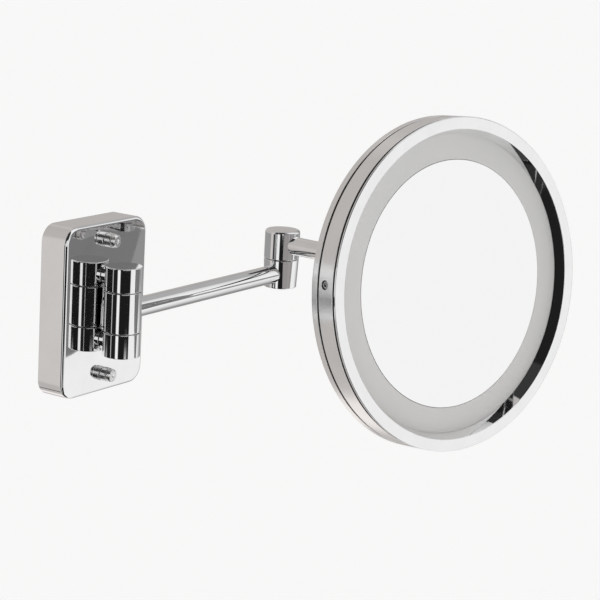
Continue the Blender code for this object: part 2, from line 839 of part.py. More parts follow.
def rear_cover(tilt):
    """The back dish: a flat disc, a chamfered rim and the inner drum the band slides over."""
    step = REAR_GROOVE[0]
    drum_front = GLASS_FRONT - 0.0005
    inner = DRUM_RADIUS - SHELL
    profile = [
        (0.0, HEAD_BACK + SHELL),
        (inner, HEAD_BACK + SHELL),
        (inner, drum_front),
        (DRUM_RADIUS, drum_front),
        (DRUM_RADIUS, step),
        (HEAD_RADIUS, step),
        (HEAD_RADIUS, HEAD_BACK + 0.0018),
        (HEAD_RADIUS - 0.0019, HEAD_BACK),
        (0.0, HEAD_BACK),
    ]
    obj = turned("rear_cover", profile, LARGE_STEPS)
    place(obj, tilt, rotation=ALONG_X)
    where = (HEAD_BACK - 0.002, 0.0, 0.0)
    cut(obj, drill("rear_lead", tilt, where, ALONG_X, 0.0030, 0.006))
    for i, (across, up) in enumerate(bracket_screw_places()):
        where = (HEAD_BACK - 0.002, across, up)
        cut(obj, drill("rear_screw_%d" % i, tilt, where, ALONG_X, 0.0018, 0.006, 10))
    for i, angle in enumerate(band_screw_angles()):
        cut(obj, band_drill("drum_screw_%d" % i, tilt, angle, 0.0020, 0.104, 0.108))
    return finish(obj, CHROME)


def band_screw_angles():
    """The first band screw is just above nine o'clock, seen from the front."""
    return [BAND_SCREW_START + i * 2 * math.pi / BAND_SCREWS for i in range(BAND_SCREWS)]


def band_screw_depth():
    """The screws sit a little behind the middle of the band."""
    return REAR_GROOVE[1] + BAND_SCREW_SHARE * (FRONT_GROOVE[0] - REAR_GROOVE[1])


def band_drill(name, tilt, angle, radius, start, end):
    """A radial hole through the head's side, at an angle from the top about local +X."""
    where = (band_screw_depth(), -start * math.sin(angle), start * math.cos(angle))
    return drill(name, tilt, where, (angle, 0.0, 0.0), radius, end - start)


def side_band(tilt):
    inner = HEAD_RADIUS - SHELL
    start = REAR_GROOVE[1]
    end = FRONT_GROOVE[0]
    profile = [(inner, end), (HEAD_RADIUS, end), (HEAD_RADIUS, start), (inner, start)]
    obj = turned("side_band", profile, LARGE_STEPS)
    place(obj, tilt, rotation=ALONG_X)
    for i, angle in enumerate(band_screw_angles()):
        cut(obj, band_drill("band_screw_%d" % i, tilt, angle, 0.0030, 0.104, 0.112))
    return finish(obj, CHROME)


def band_screws(tilt):
    top = HEAD_RADIUS - 0.0006
    names = ("band_screw_left", "band_screw_low", "band_screw_high")
    for name, angle in zip(names, band_screw_angles()):
        where = (band_screw_depth(), -top * math.sin(angle), top * math.cos(angle))
        headed_screw(
            name, tilt, where, (angle, 0.0, 0.0), (0.0026, 0.0014), (0.0014, 0.0030), CHROME
        )


def seal_ring(name, tilt, groove):
    outer = HEAD_RADIUS - GROOVE_DEPTH
    inner = DRUM_RADIUS + GAP
    start = groove[0] + GAP
    end = groove[1] - GAP
    profile = [(inner, end), (outer, end), (outer, start), (inner, start)]
    return head_ring(name, tilt, profile, BLACK_RUBBER)


def front_bezel(tilt):
    """The polished front ring, with a steep cone that runs in to the light ring."""
    foot = GLASS_FRONT + GAP
    rim = FRONT_GROOVE[1]
    wall = 0.0012
    profile = [
        (LIP_INNER_RADIUS + 0.0004, LIP_FRONT),
        (HEAD_RADIUS - 0.0010, LIP_FRONT),
        (HEAD_RADIUS - 0.0003, LIP_FRONT - 0.0003),
        (HEAD_RADIUS, LIP_FRONT - 0.0008),
        (HEAD_RADIUS, rim),
        (LIP_INNER_RADIUS + wall + 0.0010, rim),
        (CONE_FOOT_RADIUS + wall + 0.0004, foot),
        (CONE_FOOT_RADIUS, foot),
        (LIP_INNER_RADIUS, LIP_FRONT - 0.0005),
    ]
    return head_ring("front_bezel", tilt, profile, CHROME)


def diffuser_ring(tilt):
    """The frosted ring in front of the light ring."""
    back = GLASS_FRONT - 0.0020
    inner = MIRROR_RADIUS + GAP / 2
    outer = INNER_RING_RADIUS
    profile = [(inner, GLASS_FRONT), (outer, GLASS_FRONT), (outer, back), (inner, back)]
    return head_ring("diffuser_ring", tilt, profile, FROSTED)


def mirror_glass(tilt):
    """The magnifying mirror: its front is a shallow dish of constant curvature."""
    edge = MIRROR_RADIUS - GAP / 2
    back = GLASS_FRONT - 0.0035
    rings = 2
    front = []
    for i in range(rings + 1):
        radius = edge * i / rings
        front.append((radius, GLASS_FRONT - MIRROR_SAG * (1 - (i / rings) ** 2)))
    return head_ring("mirror_glass", tilt, front + [(edge, back), (0.0, back)], MIRROR)


def light_tray(tilt):
    """A white hat-shaped tray: a raised seat for the glass inside a channel for the LEDs."""
    seat = GLASS_FRONT - 0.0050
    floor = HEAD_BACK + SHELL + 0.0015
    wall_top = GLASS_FRONT - 0.0020 - GAP
    inner = MIRROR_RADIUS - 0.0022
    outer = INNER_RING_RADIUS
    profile = [
        (0.0, seat),
        (inner, seat),
        (inner, floor + SHELL),
        (outer - SHELL, floor + SHELL),
        (outer - SHELL, wall_top),
        (outer, wall_top),
        (outer, floor),
        (inner - SHELL, floor),
        (inner - SHELL, seat - SHELL),
        (0.0, seat - SHELL),
    ]
    return head_ring("light_tray", tilt, profile, WHITE_PLASTIC, 40)


def glass_pad(tilt):
    """The foam ring that the glass is stuck down on."""
    top = GLASS_FRONT - 0.0035 - GAP
    bottom = GLASS_FRONT - 0.0050 + GAP
    profile = [(0.040, top), (0.060, top), (0.060, bottom), (0.040, bottom)]
    return head_ring("glass_pad", tilt, profile, FOAM, 32)


def led_board(tilt):
    """A ring board in the tray's channel, with the LEDs standing on it."""
    start = HEAD_BACK + 2 * SHELL + 0.0015 + GAP
    top = start + 0.0016
    inner = MIRROR_RADIUS + 0.0030
    outer = inner + 0.0120
    profile = [(inner, top), (outer, top), (outer, start), (inner, start)]
    obj = turned("led_board", profile, 32)
    place(obj, tilt, rotation=ALONG_X)
    middle = (inner + outer) / 2
    bm = bmesh.new()
    for i in range(LED_COUNT):
        angle = 2 * math.pi * (i + 0.5) / LED_COUNT
        cube = bmesh.ops.create_cube(bm, size=1.0)
        for vert in cube["verts"]:
            x = middle + vert.co.x * 0.0028
            y = vert.co.y * 0.0035
            z = top + (vert.co.z + 0.5) * 0.0012 - 0.0002
            vert.co.x = x * math.cos(angle) - y * math.sin(angle)
            vert.co.y = x * math.sin(angle) + y * math.cos(angle)
            vert.co.z = z
    chips = hide_tool(object_from("join_leds", bm))
    place(chips, tilt, rotation=ALONG_X)
    join(obj, chips)
    return finish(obj, BOARD)


def build():
    wall_bracket()
    cable_grommet()
    for name, level in (("upper", STUD_HEIGHT), ("lower", -STUD_HEIGHT)):
        stud("stud_" + name, level)
        thumb_nut("thumb_nut_" + name, level)
    cover_box()
    stiffener_plate()
    for name, level in (("upper", SPIGOT_HEIGHT), ("lower", -SPIGOT_HEIGHT)):
        knuckle_screw("knuckle_screw_" + name, level)
    led_driver()
    terminal_block()
    wall_hinge()

    arm_1 = axis_empty("wall_hinge_axis", None, (0.0, HINGE_Y, 0.0))
    arm_2 = axis_empty("elbow_axis", arm_1, (ARM_1_LENGTH, 0.0, 0.0), (0.0, 0.0, ELBOW_REST))
    swivel = axis_empty(
        "swivel_axis", arm_2, (ARM_2_LENGTH, 0.0, ARM_RISE), (0.0, 0.0, SWIVEL_REST)
    )
    tilt = axis_empty(
        "tilt_axis", swivel, (TILT_FORWARD, 0.0, -TILT_DROP), (0.0, -TILT_REST, 0.0)
    )
    first_arm(arm_1, arm_2)
    second_arm(arm_2)
    swivel_yoke(swivel)
    swivel_pin(swivel)
    swivel_circlip(swivel)
    tilt_pin(tilt)
    tilt_nut(tilt)
    tilt_washers(tilt)
    head_bracket(tilt)
    bracket_screws(tilt)

    rear_cover(tilt)
    side_band(tilt)
    band_screws(tilt)
    seal_ring("rear_seal_ring", tilt, REAR_GROOVE)
    seal_ring("front_seal_ring", tilt, FRONT_GROOVE)
    front_bezel(tilt)
    diffuser_ring(tilt)
    mirror_glass(tilt)
    glass_pad(tilt)
    light_tray(tilt)
    led_board(tilt)
    bpy.context.view_layer.update()


build()
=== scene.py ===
"""Extendable shaving mirror: fine chrome surfaces, finishes, studio and camera.

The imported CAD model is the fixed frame. Smooth pieces stand for the visible CAD nodes and ride on
the same bodies. Metres, +Z up, and the wall is the plane Y = 0.
"""
import json
import math

import bmesh
import bpy
from mathutils import Matrix, Vector


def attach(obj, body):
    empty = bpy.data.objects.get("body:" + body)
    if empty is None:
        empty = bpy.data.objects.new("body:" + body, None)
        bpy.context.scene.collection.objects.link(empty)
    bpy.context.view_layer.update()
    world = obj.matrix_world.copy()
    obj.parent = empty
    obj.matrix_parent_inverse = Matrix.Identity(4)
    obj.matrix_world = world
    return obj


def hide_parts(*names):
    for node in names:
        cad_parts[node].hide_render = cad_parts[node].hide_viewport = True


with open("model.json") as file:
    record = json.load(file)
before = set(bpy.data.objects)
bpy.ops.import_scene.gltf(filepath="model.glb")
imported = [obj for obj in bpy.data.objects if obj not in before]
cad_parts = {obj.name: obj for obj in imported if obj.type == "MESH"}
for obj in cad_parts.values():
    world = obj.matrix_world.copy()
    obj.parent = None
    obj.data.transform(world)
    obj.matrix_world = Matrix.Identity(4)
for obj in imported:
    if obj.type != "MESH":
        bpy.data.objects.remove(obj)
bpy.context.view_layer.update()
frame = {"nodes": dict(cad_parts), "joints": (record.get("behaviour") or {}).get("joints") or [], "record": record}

JOINTS = {joint["name"]: joint for joint in frame["joints"]}
NODES = frame["nodes"]
GAP = 0.0003

# Wall box, and the feet of the wall hinge on it
COVER_WIDTH = 0.079
COVER_HEIGHT = 0.110
COVER_DEPTH = 0.0206
COVER_CORNER = 0.011
COVER_EDGE = 0.0022
COVER_WALL = 0.0014
COVER_HOLE = 0.0025
COVER_DRILL = 0.008
STUD_HEIGHT = 0.0436
SPIGOT_HEIGHT = 0.021
SPIGOT_RADIUS = 0.006
SPIGOT_EDGE = 0.0003
SPIGOT_REACH = 0.80  # how far into the barrel the foot goes, as a share of the barrel's radius

# Thumb nuts
NUT_RADIUS = 0.0046
NUT_LENGTH = 0.0080
NUT_CAP_LENGTH = 0.0034
NUT_DIMPLE = [(0.0, 0.0005), (0.0006, 0.0004), (0.0012, 0.0001), (0.0014, 0.0)]  # (radius, setback)
NUT_CAP = [  # (inset from the nut's radius, setback from its front)
    (0.0015, 0.0),
    (0.0012, 0.0002),
    (0.0006, 0.0008),
    (0.0004, 0.0011),
    (0.0004, 0.0021),
    (0.0005, 0.0023),
    (0.0011, 0.0024),
]
NUT_NECK = 0.0011
NUT_CHAMFER = 0.0005
NUT_RUN_OUT = 0.0003
NUT_BORE = 0.0023
NUT_BORE_DEPTH = 0.0064
NUT_TEETH = 30
KNURL_ROWS = 10
KNURL_DEPTH = 0.00016
KNURL_CREASE = 18.0

# Knuckles and arms
BARREL_RADIUS = 0.0120
BARREL_HEIGHT = 0.0580
BARREL_MIDDLE = 0.0260
BARREL_TOP_EDGE = 0.0006
KNUCKLE_GAP = 0.0004
KNUCKLE_BORE = 0.0043
KNUCKLE_EDGE = 0.0005
KNUCKLE_CAP = 0.0028
SCREW_RECESS = 0.0066
SCREW_RECESS_DEPTH = 0.0025
SCREW_RECESS_EDGE = 0.0002
ELBOW_RADIUS = 0.0122
ELBOW_FOOT_RADIUS = 0.0113
ELBOW_KNUCKLE = 0.0200
ELBOW_EDGE = 0.0020
ARM_RISE = 0.0205
TUBE_RADIUS = 0.00635
TUBE_WALL = 0.0014
TUBE_ROOT = 0.0088
TUBE_EDGE = 0.0003
TONGUE_NECK = 0.0150
FORGED_EDGE = 0.0004
PIN_EDGE = 0.0003

# Head, with depths measured forward from the tilt axis. Its radius and its front are slightly under
# the CAD's, so that the finer mesh stays inside the CAD's box.
TILT_REST = math.radians(5.8)
HEAD_RADIUS = 0.10885
HEAD_BACK = 0.0113
GLASS_FRONT = 0.0280
LIP_FRONT = 0.03487
LIP_OUTER_EDGE = 0.0009
LIP_INNER_EDGE = 0.0005
REAR_GROOVE = (0.0179, 0.0194)
FRONT_GROOVE = (0.0321, 0.0338)
SEAL_RADIUS = 0.1084
RIM_EDGE = 0.0003
DRUM_RADIUS = 0.1062
DRUM_SETBACK = 0.0005
REAR_SHELL = 0.0012
REAR_CHAMFER = (0.0019, 0.0018)
REAR_EDGE = 0.0012
BAND_INNER = 0.1078
LIP_INNER_RADIUS = 0.1009
LIP_WALL = 0.0020
CONE_FOOT_RADIUS = 0.0977
CONE_WALL = 0.0016
DIFFUSER_RADIUS = 0.1028
DIFFUSER_THICKNESS = 0.0020
DIFFUSER_EDGE = 0.0002
MIRROR_RADIUS = 0.0810
MIRROR_SAG = 0.0018
MIRROR_THICKNESS = 0.0035

# Screws in the side band, the first of them just above nine o'clock seen from the front. Their own
# depths are measured outwards from the top of the screw's head.
BAND_SCREWS = ("band_screw_left", "band_screw_low", "band_screw_high")
BAND_SCREW_START = math.radians(84.8)
BAND_SCREW_SHARE = 0.44
BAND_SCREW_DEPTH = REAR_GROOVE[1] + BAND_SCREW_SHARE * (FRONT_GROOVE[0] - REAR_GROOVE[1])
BAND_SCREW_TOP = 0.1084
BAND_SCREW_HEAD = 0.0026
BAND_SCREW_RIM = 0.0012
BAND_SCREW_UNDERSIDE = -0.0014
BAND_SCREW_SHANK = 0.0014
BAND_SCREW_TIP = -0.0044
BAND_SCREW_HOLE = 0.0030
BAND_DRILL = 0.010
SOCKET_RADIUS = 0.0013
SOCKET_FLOOR = -0.0009
SOCKET_EDGE = 0.0002
SOCKET_SIDES = 6

# How finely things are divided
FINE_STEPS = 192
KNUCKLE_STEPS = 96
TUBE_STEPS = 72
SPIGOT_STEPS = 48
SCREW_STEPS = 72
COVER_EDGE_STEPS = 8
COVER_HOLE_STEPS = 32
BAND_HOLE_STEPS = 40
MIRROR_STEPS = 48
FILLET_STEPS = 5
SMALL_FILLET_STEPS = 3
BAND_FILLET_STEPS = 4
BEZEL_FILLET_STEPS = 6
BEVEL_STEPS = 3
CREASE = 32.0  # degrees; sharper edges stay hard


# Camera

CAMERA_PLACE = Vector((-1.0104, -0.8415, 0.3017))
CAMERA_YAW = math.radians(56.33)
CAMERA_PITCH = math.radians(12.62)
CAMERA_ROLL = math.radians(-3.17)
CAMERA_LENS = 125.87
SENSOR = 36.0


def add_camera():
    yaw, pitch, roll = CAMERA_YAW, CAMERA_PITCH, CAMERA_ROLL
    ahead = Vector(
        (math.sin(yaw) * math.cos(pitch), math.cos(yaw) * math.cos(pitch), -math.sin(pitch))
    )
    level = Vector((math.cos(yaw), -math.sin(yaw), 0.0))
    rise = level.cross(ahead)
    right = math.cos(roll) * level - math.sin(roll) * rise
    up = math.cos(roll) * rise + math.sin(roll) * level
    data = bpy.data.cameras.new("camera")
    data.lens = CAMERA_LENS
    data.sensor_width = SENSOR
    data.clip_start = 0.01
    data.clip_end = 200.0
    camera = bpy.data.objects.new("camera", data)
    bpy.context.scene.collection.objects.link(camera)
    turn = Matrix((right, up, -ahead)).transposed().to_4x4()
    camera.matrix_world = Matrix.Translation(CAMERA_PLACE) @ turn
    bpy.context.scene.camera = camera


# Studio: a light tent whose panels are laid out by compass direction

PALE = 0.93  # what the camera sees behind the object
FLOOR_LEVEL = -0.62
FLOOR_RADIUS = 24.0
FLOOR_STEPS = 96
FLOOR_TONE = 0.60
FLOOR_GLOW = 0.675
# Walls of the tent: (direction in degrees from +X towards +Y, brightness)
TENT_WALL = [
    (0, 0.29),
    (20, 0.29),
    (33, 0.48),
    (45, 0.50),
    (52, 0.56),
    (62, 0.56),
    (70, 0.50),
    (134, 0.52),
    (139, 0.64),
    (150, 0.66),
    (153, 0.50),
    (156, 0.014),
    (181, 0.014),
    (184, 0.96),
    (197, 0.96),
    (200, 0.012),
    (260, 0.012),
    (264, 0.94),
    (325, 0.94),
    (345, 0.60),
]
# The tent's floor, in the same directions. It starts between the two heights in FLOOR_EDGE, which,
# like a panel's, are sines of the angle above the horizon.
TENT_FLOOR = [
    (0, 0.50),
    (28, 0.95),
    (74, 0.95),
    (84, 0.54),
    (148, 0.52),
    (156, 0.014),
    (181, 0.014),
    (186, 0.75),
    (196, 0.75),
    (202, 0.012),
    (256, 0.012),
    (264, 0.98),
    (340, 0.98),
]
FLOOR_EDGE = (-0.62, -0.68)
# Panels, each over the ones before: (from, to) in direction, (from, to) in height, and brightness
TENT_PANELS = [
    ((285.0, 312.0), (0.075, 0.30), 0.03),
    ((184.0, 264.0), (0.14, 0.86), 0.03),
    ((308.0, 346.0), (-0.222, -0.045), 0.30),
    ((104.0, 113.0), (-0.765, -0.738), 0.06),
    ((130.0, 262.0), (0.84, 1.10), 0.04),
    ((60.0, 134.0), (-0.30, -0.12), 0.34),
    ((151.0, 165.0), (-0.10, 0.45), 0.60),
    ((0.0, 360.0), (-1.10, -0.91), 0.05),
    ((340.0, 360.0), (0.44, 0.80), 0.45),
    ((0.0, 24.0), (0.44, 0.80), 0.45),
    ((212.0, 254.0), (-0.172, 0.32), 0.92),
    ((236.0, 251.0), (-0.46, -0.252), 0.90),
]
PANEL_SOFT_TURN = 1.5
PANEL_SOFT_HEIGHT = 0.015
# Walls and floor are slightly warm between these directions, and neutral elsewhere
WARM_TURN = (20, 152)
TENT_WARM = (1.0, 0.955, 0.930)
TENT_NEUTRAL = (1.0, 1.0, 1.0)


def link(tree, start, end):
    tree.links.new(start, end)


def math_node(tree, operation, *values):
    node = tree.nodes.new("ShaderNodeMath")
    node.operation = operation
    for socket, value in zip(node.inputs, values):
        if isinstance(value, bpy.types.NodeSocket):
            link(tree, value, socket)
        else:
            socket.default_value = value
    return node.outputs[0]


def map_range(tree, value, low, high, to_low, to_high, smooth=False):
    node = tree.nodes.new("ShaderNodeMapRange")
    node.interpolation_type = "SMOOTHSTEP" if smooth else "LINEAR"
    link(tree, value, node.inputs["Value"])
    node.inputs["From Min"].default_value = low
    node.inputs["From Max"].default_value = high
    node.inputs["To Min"].default_value = to_low
    node.inputs["To Max"].default_value = to_high
    return node.outputs["Result"]


def mix_colour(tree, factor, first, second):
    node = tree.nodes.new("ShaderNodeMix")
    node.data_type = "RGBA"
    sockets = {socket.identifier: socket for socket in node.inputs}
    for key, value in (
        ("Factor_Float", factor),
        ("A_Color", first),
        ("B_Color", second),
    ):
        if isinstance(value, bpy.types.NodeSocket):
            link(tree, value, sockets[key])
        elif key == "Factor_Float":
            sockets[key].default_value = value
        else:
            sockets[key].default_value = (*value, 1.0)
    return [socket for socket in node.outputs if socket.identifier == "Result_Color"][0]


def shaded(colour, share):
    return tuple(channel * share for channel in colour)


def direction_ramp(tree, where, levels):
    """A colour ramp round the compass; its seam lies at 180 degrees."""
    ramp = tree.nodes.new("ShaderNodeValToRGB")
    link(tree, where, ramp.inputs[0])
    stops = sorted((((angle + 180) % 360) / 360, level, angle) for angle, level in levels)
    first, last = stops[0], stops[-1]
    share = (1.0 - last[0]) / (first[0] + 1.0 - last[0])
    seam = last[1] + (first[1] - last[1]) * share
    stops = [(0.0, seam, 180)] + stops + [(1.0, seam, 180)]
    points = ramp.color_ramp.elements
    while len(points) < len(stops):
        points.new(0.5)
    for point, (spot, level, angle) in zip(points, stops):
        tint = TENT_WARM if WARM_TURN[0] < angle < WARM_TURN[1] else TENT_NEUTRAL
        point.position = spot
        point.color = (*shaded(tint, level), 1.0)
    return ramp.outputs["Color"]


def soft_window(tree, value, low, high, soft):
    """A value of one between two limits and zero outside, with soft edges."""
    rise = map_range(tree, value, low - soft, low + soft, 0.0, 1.0, True)
    fall = map_range(tree, value, high - soft, high + soft, 1.0, 0.0, True)
    return math_node(tree, "MULTIPLY", rise, fall)


def add_world():
    """The tent, which lights the object and is reflected in it. The camera sees a plain backdrop."""
    world = bpy.data.worlds.new("tent")
    bpy.context.scene.world = world
    world.use_nodes = True
    tree = world.node_tree
    back = tree.nodes["Background"]
    coord = tree.nodes.new("ShaderNodeTexCoord")
    split = tree.nodes.new("ShaderNodeSeparateXYZ")
    link(tree, coord.outputs["Generated"], split.inputs[0])
    height = split.outputs["Z"]
    turn = math_node(tree, "ARCTAN2", split.outputs["Y"], split.outputs["X"])
    where = map_range(tree, turn, -math.pi, math.pi, 0.0, 1.0)
    degrees = math_node(tree, "MULTIPLY", math_node(tree, "ADD", where, 0.5), 360.0)
    degrees = math_node(tree, "MODULO", degrees, 360.0)
    wall = direction_ramp(tree, where, TENT_WALL)
    floor = direction_ramp(tree, where, TENT_FLOOR)
    below = map_range(tree, height, FLOOR_EDGE[0], FLOOR_EDGE[1], 0.0, 1.0, True)
    colour = mix_colour(tree, below, wall, floor)
    for (start, end), (low, high), level in TENT_PANELS:
        across = soft_window(tree, degrees, start, end, PANEL_SOFT_TURN)
        along = soft_window(tree, height, low, high, PANEL_SOFT_HEIGHT)
        inside = math_node(tree, "MULTIPLY", across, along)
        colour = mix_colour(tree, inside, colour, (level,) * 3)
    path = tree.nodes.new("ShaderNodeLightPath")
    colour = mix_colour(tree, path.outputs["Is Camera Ray"], colour, (PALE,) * 3)
    link(tree, colour, back.inputs["Color"])
    back.inputs["Strength"].default_value = 1.0


def floor_material():
    mat = bpy.data.materials.new("floor_pale")
    mat.use_nodes = True
    shader = mat.node_tree.nodes["Principled BSDF"]
    shader.inputs["Base Color"].default_value = (FLOOR_TONE, FLOOR_TONE, FLOOR_TONE, 1.0)
    shader.inputs["Roughness"].default_value = 0.9
    shader.inputs["Specular IOR Level"].default_value = 0.0
    shader.inputs["Emission Color"].default_value = (1.0, 1.0, 1.0, 1.0)
    shader.inputs["Emission Strength"].default_value = FLOOR_GLOW
    return mat


def add_floor():
    """A pale floor, hidden from reflections, which show the tent instead."""
    bm = bmesh.new()
    bmesh.ops.create_circle(bm, cap_ends=True, segments=FLOOR_STEPS, radius=FLOOR_RADIUS)
    floor = mesh_object("floor", bm)
    floor.location.z = FLOOR_LEVEL
    floor.data.materials.append(floor_material())
    floor.visible_glossy = False


# Shapes

def mesh_object(name, bm):
    mesh = bpy.data.meshes.new(name)
    bm.to_mesh(mesh)
    bm.free()
    obj = bpy.data.objects.new(name, mesh)
    bpy.context.scene.collection.objects.link(obj)
    return obj


def fillet(points, radii, steps=FILLET_STEPS, closed=True):
    """Round the corners of a polyline in (radius, depth); a radius of zero keeps a corner."""
    out = []
    count = len(points)
    for i, point in enumerate(points):
        radius = radii[i]
        here = Vector(point)
        if radius <= 0 or (not closed and i in (0, count - 1)):
            out.append(tuple(here))
            continue
        before = Vector(points[i - 1]) - here
        after = Vector(points[(i + 1) % count]) - here
        half = before.angle(after) / 2
        reach = min(radius / math.tan(half), before.length * 0.49, after.length * 0.49)
        radius = reach * math.tan(half)
        bisector = (before.normalized() + after.normalized()).normalized()
        centre = here + bisector * (radius / math.sin(half))
        start = here + before.normalized() * reach - centre
        end = here + after.normalized() * reach - centre
        sweep = start.angle_signed(end)
        for k in range(steps + 1):
            turn = -sweep * k / steps
            cosine, sine = math.cos(turn), math.sin(turn)
            arm = Vector((start.x * cosine - start.y * sine, start.x * sine + start.y * cosine))
            out.append(tuple(centre + arm))
    return out


def lathe(bm, profile, steps, closed=True, wave=None):
    """Turn a profile of (radius, depth) about local Z. wave(radius, depth, step) may move a radius."""
    rings = []
    for radius, depth in profile:
        if radius < 1e-7:
            rings.append([bm.verts.new((0.0, 0.0, depth))])
            continue
        ring = []
        for k in range(steps):
            angle = 2 * math.pi * k / steps
            reach = wave(radius, depth, k) if wave else radius
            ring.append(bm.verts.new((reach * math.cos(angle), reach * math.sin(angle), depth)))
        rings.append(ring)
    pairs = list(zip(rings, rings[1:]))
    if closed:
        pairs.append((rings[-1], rings[0]))
    for low, high in pairs:
        for k in range(steps):
            j = (k + 1) % steps
            corners = [low[k % len(low)], low[j % len(low)], high[j % len(high)], high[k % len(high)]]
            corners = list(dict.fromkeys(corners))
            if len(corners) > 2:
                bm.faces.new(corners)
    bmesh.ops.recalc_face_normals(bm, faces=bm.faces)


def stand_in(obj, body, material, node):
    """Let an object ride on a body, with its material, in place of a CAD node."""
    obj.data.materials.append(material)
    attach(obj, body)
    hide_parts(node)


def dress(obj, matrix, body, material, node, crease=CREASE):
    """Put a mesh in place and shade it smooth between its creases."""
    obj.data.transform(matrix)
    obj.data.shade_smooth()
    obj.data.set_sharp_from_angle(angle=math.radians(crease))
    weigh = obj.modifiers.new("flat_faces", "WEIGHTED_NORMAL")
    weigh.mode = "FACE_AREA"
    weigh.weight = 100
    weigh.keep_sharp = True
    stand_in(obj, body, material, node)


def piece(node, bm, matrix, body, material, crease=CREASE):
    """Finish a mesh as the smooth piece that stands for a CAD node."""
    obj = mesh_object(node + "_fine", bm)
    dress(obj, matrix, body, material, node, crease)
    return obj


def turned(node, profile, steps, matrix, body, material, closed=True):
    """A piece that is one profile turned about its frame's Z."""
    bm = bmesh.new()
    lathe(bm, profile, steps, closed)
    piece(node, bm, matrix, body, material)


def rounded_outline(half_width, half_height, corner, steps=10):
    """A rounded rectangle in (x, z), anticlockwise from the right side."""
    points = []
    for quarter, (side, level) in enumerate(((1, 1), (-1, 1), (-1, -1), (1, -1))):
        middle_x = side * (half_width - corner)
        middle_z = level * (half_height - corner)
        for k in range(steps + 1):
            angle = math.pi / 2 * (quarter + k / steps)
            x = middle_x + corner * math.cos(angle)
            z = middle_z + corner * math.sin(angle)
            points.append((x, z))
    return points


def loft(bm, rings):
    """Join rings of points one after another, and close the first and the last."""
    made = [[bm.verts.new(point) for point in ring] for ring in rings]
    count = len(made[0])
    for low, high in zip(made, made[1:]):
        for k in range(count):
            j = (k + 1) % count
            bm.faces.new((low[k], low[j], high[j], high[k]))
    bm.faces.new(made[0])
    bm.faces.new(made[-1])
    bmesh.ops.recalc_face_normals(bm, faces=bm.faces)


def refined(node, body, material, width):
    """A copy of a CAD node's solid with its outer hard edges rounded off."""
    source = NODES[node]
    bm = bmesh.new()
    bm.from_mesh(source.data)
    bmesh.ops.remove_doubles(bm, verts=bm.verts, dist=1e-6)
    bmesh.ops.dissolve_limit(bm, angle_limit=math.radians(1.0), verts=bm.verts, edges=bm.edges)
    # A concave face is split up here, because it could be filled in across its own gap once bevelled
    bmesh.ops.connect_verts_concave(bm, faces=bm.faces)
    bmesh.ops.recalc_face_normals(bm, faces=bm.faces)
    weight = bm.edges.layers.float.new("bevel_weight_edge")
    for line in bm.edges:
        if line.is_manifold and line.is_convex:
            line[weight] = float(line.calc_face_angle() > math.radians(CREASE))
    obj = mesh_object(node + "_fine", bm)
    edge = obj.modifiers.new("edges", "BEVEL")
    edge.width = width
    edge.segments = BEVEL_STEPS
    edge.limit_method = "WEIGHT"
    edge.use_clamp_overlap = True
    edge.harden_normals = True
    obj.data.shade_smooth()
    obj.data.set_sharp_from_angle(angle=math.radians(CREASE))
    stand_in(obj, body, material, node)


def add_drill(cutters, where, radius, length, steps):
    """Add a cylinder to the shapes to cut out, centred on a frame and lying along its Z."""
    bmesh.ops.create_cone(
        cutters,
        cap_ends=True,
        segments=steps,
        radius1=radius,
        radius2=radius,
        depth=length,
        matrix=where,
    )


def apply_cut(obj, cutters):
    """Cut shapes out of a mesh and keep the result as its mesh."""
    tool = mesh_object(obj.name + "_tool", cutters)
    cut = obj.modifiers.new("cut", "BOOLEAN")
    cut.operation = "DIFFERENCE"
    cut.solver = "EXACT"
    cut.object = tool
    bpy.context.view_layer.update()
    graph = bpy.context.evaluated_depsgraph_get()
    mesh = bpy.data.meshes.new_from_object(obj.evaluated_get(graph))
    obj.modifiers.clear()
    obj.data = mesh
    bpy.data.objects.remove(tool)


# Places at rest

def place(name):
    return Vector(JOINTS[name]["pos_m"])


WALL_HINGE = place("wall_hinge")
ELBOW = Vector((place("elbow_hinge").x, place("elbow_hinge").y, 0.0))
SWIVEL = place("head_swivel")
TILT = place("head_tilt")


def facing(origin, target):
    """An upright frame at a point, with +X towards another point."""
    ahead = target - origin
    turn = Matrix.Rotation(math.atan2(ahead.y, ahead.x), 4, "Z")
    return Matrix.Translation(origin) @ turn


ALONG_X = Matrix.Rotation(math.pi / 2, 4, "Y")
ALONG_MINUS_Y = Matrix.Rotation(math.pi / 2, 4, "X")
AT_WALL_HINGE = Matrix.Translation(WALL_HINGE)
AT_ARM_1 = facing(WALL_HINGE, ELBOW)
AT_ELBOW = Matrix.Translation(ELBOW)
AT_ARM_2 = facing(ELBOW, SWIVEL)
AT_SWIVEL = facing(SWIVEL, TILT)
AT_YOKE_END = Matrix.Translation(TILT) @ AT_SWIVEL.to_3x3().to_4x4()
AT_TILT = AT_YOKE_END @ Matrix.Rotation(-TILT_REST, 4, "Y")
AT_HEAD = AT_TILT @ ALONG_X


# Finishes

def base_material(name, colour, roughness, metallic):
    mat = bpy.data.materials.new(name)
    mat.use_nodes = True
    tree = mat.node_tree
    shader = tree.nodes["Principled BSDF"]
    shader.inputs["Base Color"].default_value = (*colour, 1.0)
    shader.inputs["Roughness"].default_value = roughness
    shader.inputs["Metallic"].default_value = metallic
    coord = tree.nodes.new("ShaderNodeTexCoord")
    return mat, tree, shader, coord.outputs["Object"]


def stretched(tree, vector, scale):
    node = tree.nodes.new("ShaderNodeMapping")
    link(tree, vector, node.inputs["Vector"])
    node.inputs["Scale"].default_value = scale
    return node.outputs["Vector"]


